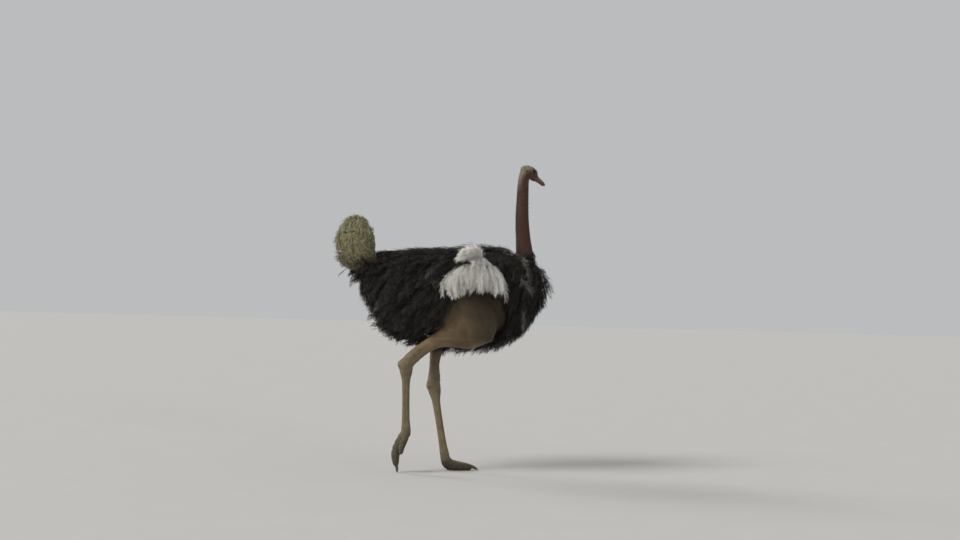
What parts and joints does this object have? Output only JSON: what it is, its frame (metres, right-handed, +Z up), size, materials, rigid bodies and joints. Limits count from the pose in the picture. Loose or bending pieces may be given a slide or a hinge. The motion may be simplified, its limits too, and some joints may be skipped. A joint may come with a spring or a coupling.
{
  "type": "ostrich",
  "caption": "Life-size still model of a male ostrich in mid-stride, head up, with black body feathers, white wing plumes and an arched tail.",
  "frame": {"origin": "on the floor, under the centre of the whole bird's bounding box", "axes": "+Z up, +X the way the bird faces and walks, +Y towards its left side"},
  "size_m": [1.521, 0.796, 2.073],
  "materials": {
    "black_plumage": "soft matte feathers",
    "white_plumage": "soft matte feathers",
    "tail_plumage": "soft matte feathers",
    "neck_skin": "bare skin with thin down",
    "leg_skin": "bare pebbled skin",
    "leg_scales": "horny scutes",
    "horn": "smooth horn",
    "eye": "wet gloss"
  },
  "bodies": {
    "root": {"trunk": "black_plumage", "tail": "tail_plumage", "head": "neck_skin", "neck": "neck_skin", "bill_upper": "horn", "bill_lower": "horn", "eye_left": "eye", "eye_right": "eye", "thigh_left": "leg_skin", "thigh_right": "leg_skin", "drumstick_left": "leg_skin", "drumstick_right": "leg_skin", "shank_left": "leg_scales", "shank_right": "leg_scales", "toe_inner_left": "leg_scales", "toe_inner_right": "leg_scales", "toe_outer_left": "leg_scales", "toe_outer_right": "leg_scales", "claw_left": "horn", "claw_right": "horn", "wing_left": "black_plumage", "wing_right": "black_plumage", "wing_plumes_left": "white_plumage", "wing_plumes_right": "white_plumage"}
  },
  "joints": []
}
